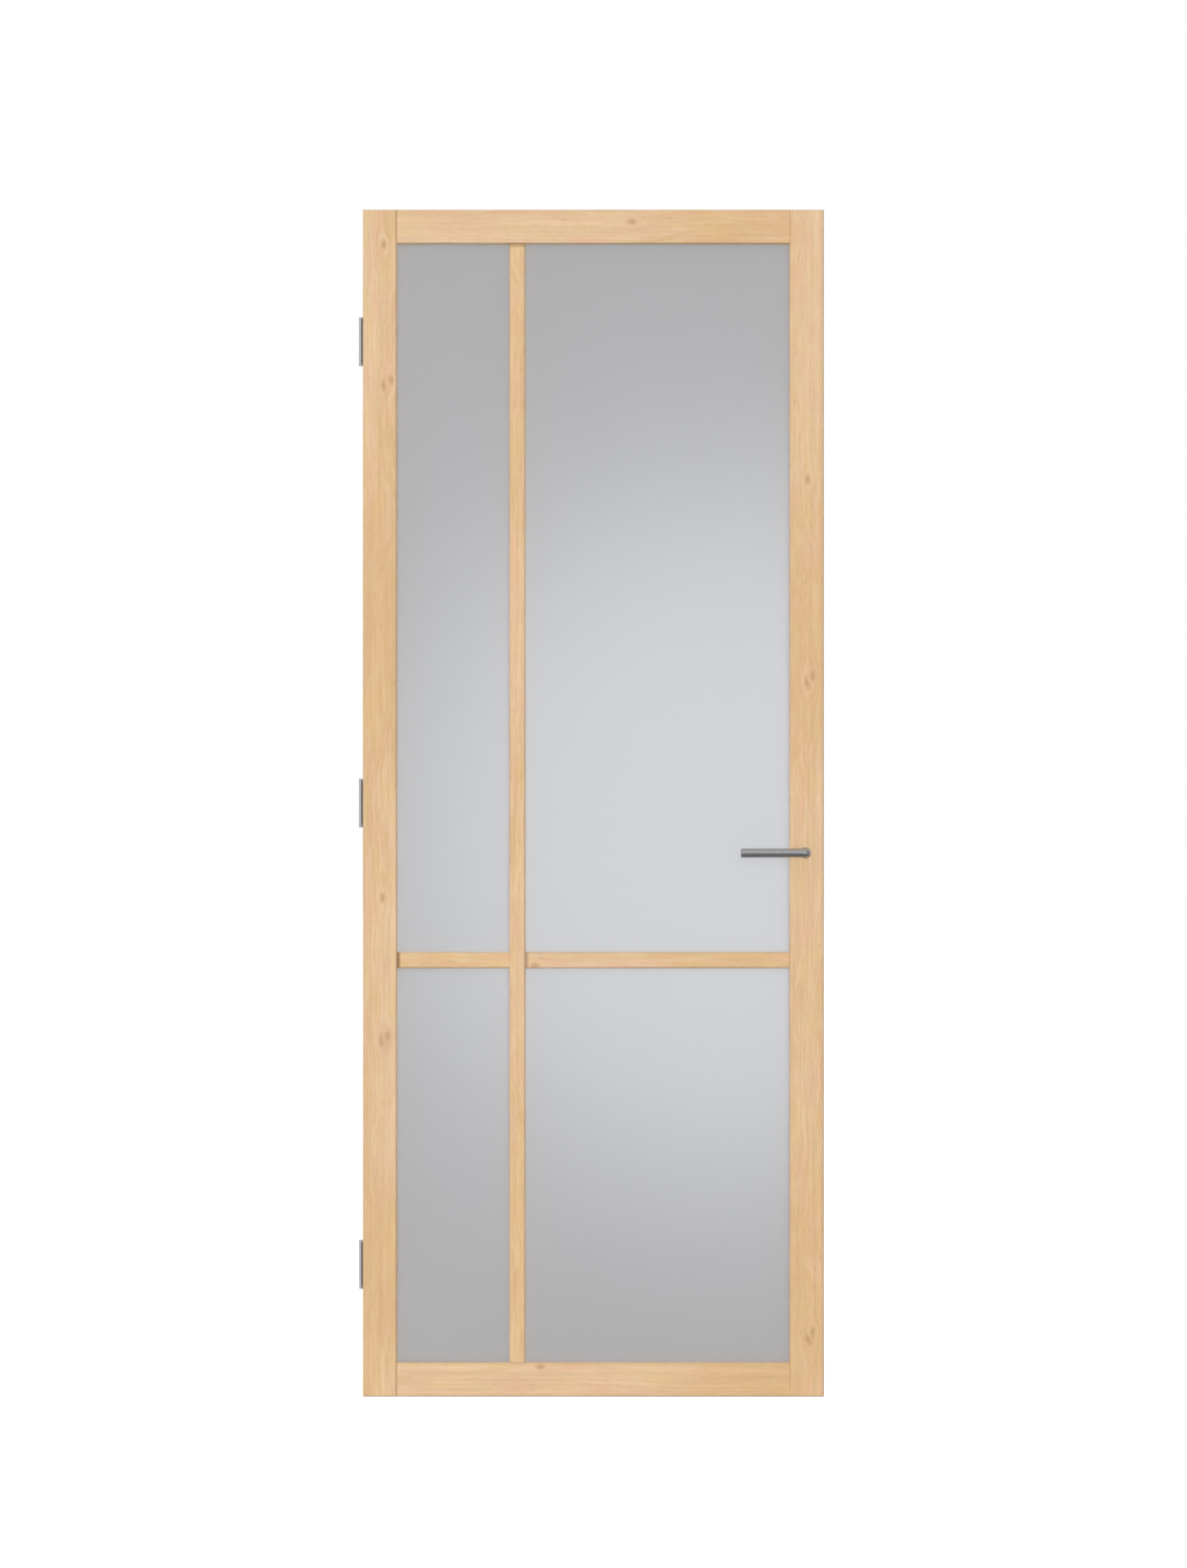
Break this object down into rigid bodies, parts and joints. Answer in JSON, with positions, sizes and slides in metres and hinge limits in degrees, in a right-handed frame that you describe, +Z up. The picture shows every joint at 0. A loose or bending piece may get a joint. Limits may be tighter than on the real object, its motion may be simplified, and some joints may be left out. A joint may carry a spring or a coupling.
{
  "type": "glazed interior door",
  "caption": "Oak interior door leaf with one satin glass sheet divided by planted bars, lever handles on both sides and butt hinges on its left edge.",
  "frame": {"origin": "back of the lower hinge's frame plate, at half the leaf's thickness and half the plate's height", "axes": "+X from the hinge edge to the lock edge, +Y from the front to the back, +Z up"},
  "size_m": [0.8885, 0.147, 2.266],
  "materials": {
    "oak": "satin",
    "satin_glass": "satin",
    "glazing_tape": "matte",
    "lever_steel": "satin",
    "lock_steel": "satin",
    "hinge_steel": "satin"
  },
  "bodies": {
    "frame_hinges": {"lower_hinge_frame_leaf": "hinge_steel", "lower_hinge_pin": "hinge_steel", "middle_hinge_frame_leaf": "hinge_steel", "middle_hinge_pin": "hinge_steel", "upper_hinge_frame_leaf": "hinge_steel", "upper_hinge_pin": "hinge_steel"},
    "leaf": {"hinge_stile": "oak", "lock_stile": "oak", "top_rail": "oak", "bottom_rail": "oak", "bottom_bead": "oak", "top_bead": "oak", "hinge_side_bead": "oak", "lock_side_bead": "oak", "front_vertical_bar": "oak", "front_horizontal_bar_left": "oak", "front_horizontal_bar_right": "oak", "back_vertical_bar": "oak", "back_horizontal_bar_left": "oak", "back_horizontal_bar_right": "oak", "glass_pane": "satin_glass", "front_glazing_tape": "glazing_tape", "back_glazing_tape": "glazing_tape", "front_rose": "lever_steel", "back_rose": "lever_steel", "lock_case": "lock_steel", "forend": "lock_steel", "latch_bolt": "lock_steel", "lower_hinge_door_leaf": "hinge_steel", "middle_hinge_door_leaf": "hinge_steel", "upper_hinge_door_leaf": "hinge_steel"},
    "lever_set": {"front_lever": "lever_steel", "back_lever": "lever_steel", "spindle": "lock_steel", "lock_follower": "lock_steel"}
  },
  "joints": [
    {"name": "door_swing", "type": "hinge", "parent": "frame_hinges", "child": "leaf", "pos_m": [0.0045, 0.02755, 0], "axis": [0, 0, 1], "range_deg": [0, 110]},
    {"name": "lever_turn", "type": "hinge", "parent": "leaf", "child": "lever_set", "pos_m": [0.851, 0, 0.788], "axis": [0, -1, 0], "range_deg": [0, 40], "stiffness_Nm_per_rad": 1.5, "springref_deg": -34.38}
  ]
}
